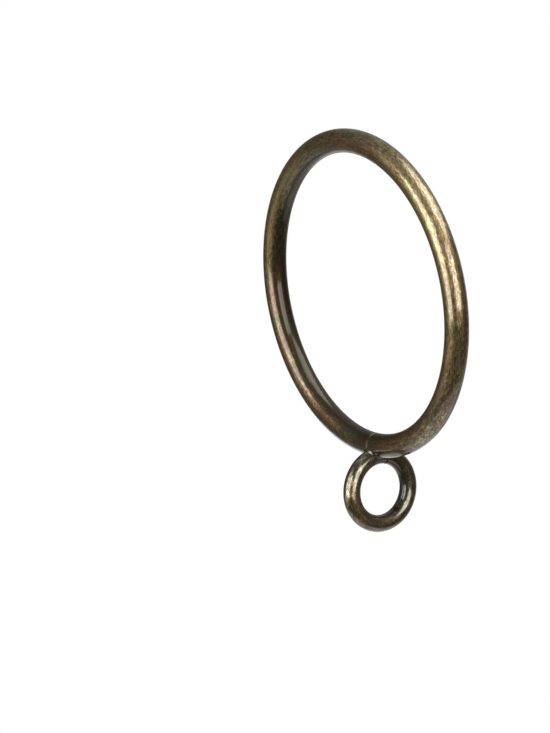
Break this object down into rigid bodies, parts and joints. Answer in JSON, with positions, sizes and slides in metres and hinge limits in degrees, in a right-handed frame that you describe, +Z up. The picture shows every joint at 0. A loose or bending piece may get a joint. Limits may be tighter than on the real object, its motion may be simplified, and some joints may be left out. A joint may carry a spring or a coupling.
{
  "type": "eyelet curtain ring",
  "caption": "Round wire curtain ring with a small wire eyelet welded under it, square to the ring: the ring slides along a curtain rod and the eyelet carries the curtain's hook.",
  "frame": {"origin": "centre of the ring, on the axis of its hole", "axes": "+X along the axis of the ring's hole, which is the curtain rod's direction; +Z up; the eyelet hangs at -Z, and its hole looks along Y"},
  "size_m": [0.0116, 0.0444, 0.0547],
  "materials": {
    "antique_brass": "antique brass plating on steel wire: dark brown patina, rubbed back to gold in fine streaks",
    "weld_metal": "the same plating over rough weld metal, left dark"
  },
  "bodies": {
    "root": {"ring": "antique_brass", "eyelet": "antique_brass", "weld_bead": "weld_metal"}
  },
  "joints": []
}
